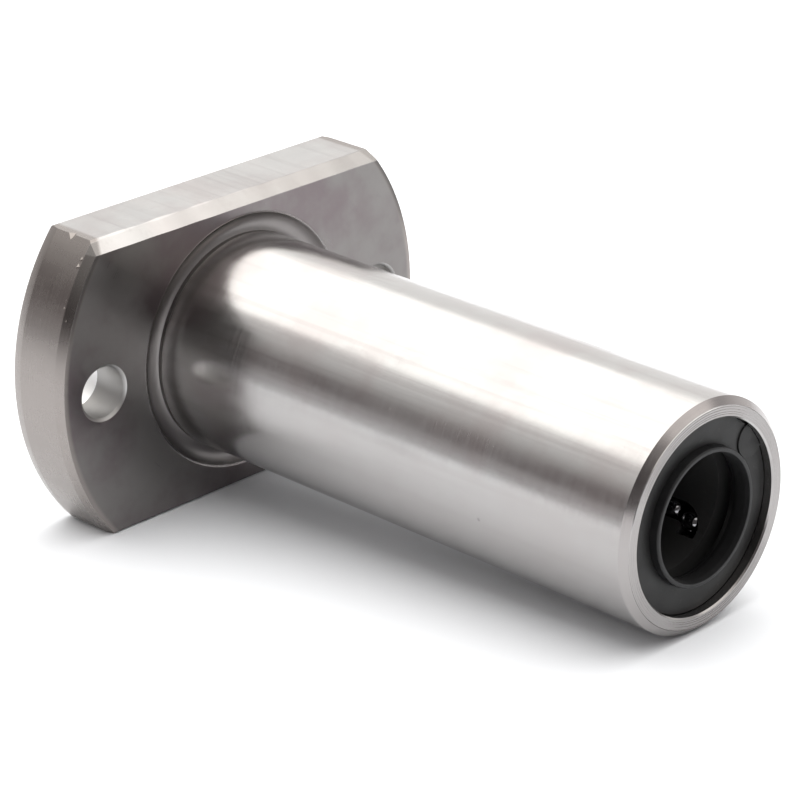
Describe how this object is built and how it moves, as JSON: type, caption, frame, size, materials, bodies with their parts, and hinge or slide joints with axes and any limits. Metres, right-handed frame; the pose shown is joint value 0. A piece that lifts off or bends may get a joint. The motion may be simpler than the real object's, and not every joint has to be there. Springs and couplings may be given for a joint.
{
  "type": "flanged linear ball bushing",
  "caption": "Long linear ball bushing with an oval two-hole flange, plastic ball cages and rubber end seals; it guides a round shaft along its axis.",
  "frame": {"origin": "on the bore's axis, in the plane of the flange's outer end face", "axes": "+X along the bore from the flange to the tube's free end, +Z normal to the flange's flats, Y through the two bolt holes"},
  "size_m": [0.045, 0.032, 0.0206],
  "materials": {
    "ground_steel": "ground bearing steel, satin",
    "cage_plastic": "black moulded acetal",
    "seal_rubber": "black nitrile rubber",
    "ball_steel": "polished bearing balls",
    "ring_steel": "dark spring steel"
  },
  "bodies": {
    "bushing": {"sleeve": "ground_steel", "cage_a": "cage_plastic", "cage_b": "cage_plastic", "snap_ring_a": "ring_steel", "snap_ring_b": "ring_steel", "side_plate_a": "cage_plastic", "side_plate_b": "cage_plastic", "seal_lip_a": "seal_rubber", "seal_lip_b": "seal_rubber"},
    "loaded_a1": {"balls_a1_loaded": "ball_steel"},
    "turn_front_a1": {"balls_a1_turn_front": "ball_steel"},
    "return_a1": {"balls_a1_return": "ball_steel"},
    "turn_rear_a1": {"balls_a1_turn_rear": "ball_steel"},
    "loaded_a2": {"balls_a2_loaded": "ball_steel"},
    "turn_front_a2": {"balls_a2_turn_front": "ball_steel"},
    "return_a2": {"balls_a2_return": "ball_steel"},
    "turn_rear_a2": {"balls_a2_turn_rear": "ball_steel"},
    "loaded_a3": {"balls_a3_loaded": "ball_steel"},
    "turn_front_a3": {"balls_a3_turn_front": "ball_steel"},
    "return_a3": {"balls_a3_return": "ball_steel"},
    "turn_rear_a3": {"balls_a3_turn_rear": "ball_steel"},
    "loaded_a4": {"balls_a4_loaded": "ball_steel"},
    "turn_front_a4": {"balls_a4_turn_front": "ball_steel"},
    "return_a4": {"balls_a4_return": "ball_steel"},
    "turn_rear_a4": {"balls_a4_turn_rear": "ball_steel"},
    "loaded_b1": {"balls_b1_loaded": "ball_steel"},
    "turn_front_b1": {"balls_b1_turn_front": "ball_steel"},
    "return_b1": {"balls_b1_return": "ball_steel"},
    "turn_rear_b1": {"balls_b1_turn_rear": "ball_steel"},
    "loaded_b2": {"balls_b2_loaded": "ball_steel"},
    "turn_front_b2": {"balls_b2_turn_front": "ball_steel"},
    "return_b2": {"balls_b2_return": "ball_steel"},
    "turn_rear_b2": {"balls_b2_turn_rear": "ball_steel"},
    "loaded_b3": {"balls_b3_loaded": "ball_steel"},
    "turn_front_b3": {"balls_b3_turn_front": "ball_steel"},
    "return_b3": {"balls_b3_return": "ball_steel"},
    "turn_rear_b3": {"balls_b3_turn_rear": "ball_steel"},
    "loaded_b4": {"balls_b4_loaded": "ball_steel"},
    "turn_front_b4": {"balls_b4_turn_front": "ball_steel"},
    "return_b4": {"balls_b4_return": "ball_steel"},
    "turn_rear_b4": {"balls_b4_turn_rear": "ball_steel"}
  },
  "joints": [
    {"name": "roll_a1", "type": "slide", "parent": "bushing", "child": "loaded_a1", "axis": [1, 0, 0], "range_m": [-0.00085, 0.00085]},
    {"name": "return_a1", "type": "slide", "parent": "bushing", "child": "return_a1", "axis": [1, 0, 0], "range_m": [-0.00085, 0.00085]},
    {"name": "turn_front_a1", "type": "hinge", "parent": "bushing", "child": "turn_front_a1", "pos_m": [0.00487, -0.00341, 0.00358], "axis": [0, -0.8387, 0.5446], "range_deg": [-45, 45]},
    {"name": "turn_rear_a1", "type": "hinge", "parent": "bushing", "child": "turn_rear_a1", "pos_m": [0.02017, -0.00341, 0.00358], "axis": [0, -0.8387, 0.5446], "range_deg": [-45, 45]},
    {"name": "roll_a2", "type": "slide", "parent": "bushing", "child": "loaded_a2", "axis": [1, 0, 0], "range_m": [-0.00085, 0.00085]},
    {"name": "return_a2", "type": "slide", "parent": "bushing", "child": "return_a2", "axis": [1, 0, 0], "range_m": [-0.00085, 0.00085]},
    {"name": "turn_front_a2", "type": "hinge", "parent": "bushing", "child": "turn_front_a2", "pos_m": [0.00487, -0.00358, -0.00341], "axis": [0, -0.5446, -0.8387], "range_deg": [-45, 45]},
    {"name": "turn_rear_a2", "type": "hinge", "parent": "bushing", "child": "turn_rear_a2", "pos_m": [0.02017, -0.00358, -0.00341], "axis": [0, -0.5446, -0.8387], "range_deg": [-45, 45]},
    {"name": "roll_a3", "type": "slide", "parent": "bushing", "child": "loaded_a3", "axis": [1, 0, 0], "range_m": [-0.00085, 0.00085]},
    {"name": "return_a3", "type": "slide", "parent": "bushing", "child": "return_a3", "axis": [1, 0, 0], "range_m": [-0.00085, 0.00085]},
    {"name": "turn_front_a3", "type": "hinge", "parent": "bushing", "child": "turn_front_a3", "pos_m": [0.00487, 0.00341, -0.00358], "axis": [0, 0.8387, -0.5446], "range_deg": [-45, 45]},
    {"name": "turn_rear_a3", "type": "hinge", "parent": "bushing", "child": "turn_rear_a3", "pos_m": [0.02017, 0.00341, -0.00358], "axis": [0, 0.8387, -0.5446], "range_deg": [-45, 45]},
    {"name": "roll_a4", "type": "slide", "parent": "bushing", "child": "loaded_a4", "axis": [1, 0, 0], "range_m": [-0.00085, 0.00085]},
    {"name": "return_a4", "type": "slide", "parent": "bushing", "child": "return_a4", "axis": [1, 0, 0], "range_m": [-0.00085, 0.00085]},
    {"name": "turn_front_a4", "type": "hinge", "parent": "bushing", "child": "turn_front_a4", "pos_m": [0.00487, 0.00358, 0.00341], "axis": [0, 0.5446, 0.8387], "range_deg": [-45, 45]},
    {"name": "turn_rear_a4", "type": "hinge", "parent": "bushing", "child": "turn_rear_a4", "pos_m": [0.02017, 0.00358, 0.00341], "axis": [0, 0.5446, 0.8387], "range_deg": [-45, 45]},
    {"name": "roll_b1", "type": "slide", "parent": "bushing", "child": "loaded_b1", "axis": [1, 0, 0], "range_m": [-0.00085, 0.00085]},
    {"name": "return_b1", "type": "slide", "parent": "bushing", "child": "return_b1", "axis": [1, 0, 0], "range_m": [-0.00085, 0.00085]},
    {"name": "turn_front_b1", "type": "hinge", "parent": "bushing", "child": "turn_front_b1", "pos_m": [0.02482, -0.00341, 0.00358], "axis": [0, -0.8387, 0.5446], "range_deg": [-45, 45]},
    {"name": "turn_rear_b1", "type": "hinge", "parent": "bushing", "child": "turn_rear_b1", "pos_m": [0.04013, -0.00341, 0.00358], "axis": [0, -0.8387, 0.5446], "range_deg": [-45, 45]},
    {"name": "roll_b2", "type": "slide", "parent": "bushing", "child": "loaded_b2", "axis": [1, 0, 0], "range_m": [-0.00085, 0.00085]},
    {"name": "return_b2", "type": "slide", "parent": "bushing", "child": "return_b2", "axis": [1, 0, 0], "range_m": [-0.00085, 0.00085]},
    {"name": "turn_front_b2", "type": "hinge", "parent": "bushing", "child": "turn_front_b2", "pos_m": [0.02482, -0.00358, -0.00341], "axis": [0, -0.5446, -0.8387], "range_deg": [-45, 45]},
    {"name": "turn_rear_b2", "type": "hinge", "parent": "bushing", "child": "turn_rear_b2", "pos_m": [0.04013, -0.00358, -0.00341], "axis": [0, -0.5446, -0.8387], "range_deg": [-45, 45]},
    {"name": "roll_b3", "type": "slide", "parent": "bushing", "child": "loaded_b3", "axis": [1, 0, 0], "range_m": [-0.00085, 0.00085]},
    {"name": "return_b3", "type": "slide", "parent": "bushing", "child": "return_b3", "axis": [1, 0, 0], "range_m": [-0.00085, 0.00085]},
    {"name": "turn_front_b3", "type": "hinge", "parent": "bushing", "child": "turn_front_b3", "pos_m": [0.02482, 0.00341, -0.00358], "axis": [0, 0.8387, -0.5446], "range_deg": [-45, 45]},
    {"name": "turn_rear_b3", "type": "hinge", "parent": "bushing", "child": "turn_rear_b3", "pos_m": [0.04013, 0.00341, -0.00358], "axis": [0, 0.8387, -0.5446], "range_deg": [-45, 45]},
    {"name": "roll_b4", "type": "slide", "parent": "bushing", "child": "loaded_b4", "axis": [1, 0, 0], "range_m": [-0.00085, 0.00085]},
    {"name": "return_b4", "type": "slide", "parent": "bushing", "child": "return_b4", "axis": [1, 0, 0], "range_m": [-0.00085, 0.00085]},
    {"name": "turn_front_b4", "type": "hinge", "parent": "bushing", "child": "turn_front_b4", "pos_m": [0.02482, 0.00358, 0.00341], "axis": [0, 0.5446, 0.8387], "range_deg": [-45, 45]},
    {"name": "turn_rear_b4", "type": "hinge", "parent": "bushing", "child": "turn_rear_b4", "pos_m": [0.04013, 0.00358, 0.00341], "axis": [0, 0.5446, 0.8387], "range_deg": [-45, 45]}
  ],
  "couplings": [
    {"joint": "return_a1", "follows": "roll_a1", "ratio": -1},
    {"joint": "turn_front_a1", "follows": "roll_a1", "rad_per_m": 924},
    {"joint": "turn_rear_a1", "follows": "roll_a1", "rad_per_m": 924},
    {"joint": "return_a2", "follows": "roll_a2", "ratio": -1},
    {"joint": "turn_front_a2", "follows": "roll_a2", "rad_per_m": 924},
    {"joint": "turn_rear_a2", "follows": "roll_a2", "rad_per_m": 924},
    {"joint": "return_a3", "follows": "roll_a3", "ratio": -1},
    {"joint": "turn_front_a3", "follows": "roll_a3", "rad_per_m": 924},
    {"joint": "turn_rear_a3", "follows": "roll_a3", "rad_per_m": 924},
    {"joint": "return_a4", "follows": "roll_a4", "ratio": -1},
    {"joint": "turn_front_a4", "follows": "roll_a4", "rad_per_m": 924},
    {"joint": "turn_rear_a4", "follows": "roll_a4", "rad_per_m": 924},
    {"joint": "return_b1", "follows": "roll_b1", "ratio": -1},
    {"joint": "turn_front_b1", "follows": "roll_b1", "rad_per_m": 924},
    {"joint": "turn_rear_b1", "follows": "roll_b1", "rad_per_m": 924},
    {"joint": "return_b2", "follows": "roll_b2", "ratio": -1},
    {"joint": "turn_front_b2", "follows": "roll_b2", "rad_per_m": 924},
    {"joint": "turn_rear_b2", "follows": "roll_b2", "rad_per_m": 924},
    {"joint": "return_b3", "follows": "roll_b3", "ratio": -1},
    {"joint": "turn_front_b3", "follows": "roll_b3", "rad_per_m": 924},
    {"joint": "turn_rear_b3", "follows": "roll_b3", "rad_per_m": 924},
    {"joint": "return_b4", "follows": "roll_b4", "ratio": -1},
    {"joint": "turn_front_b4", "follows": "roll_b4", "rad_per_m": 924},
    {"joint": "turn_rear_b4", "follows": "roll_b4", "rad_per_m": 924}
  ]
}
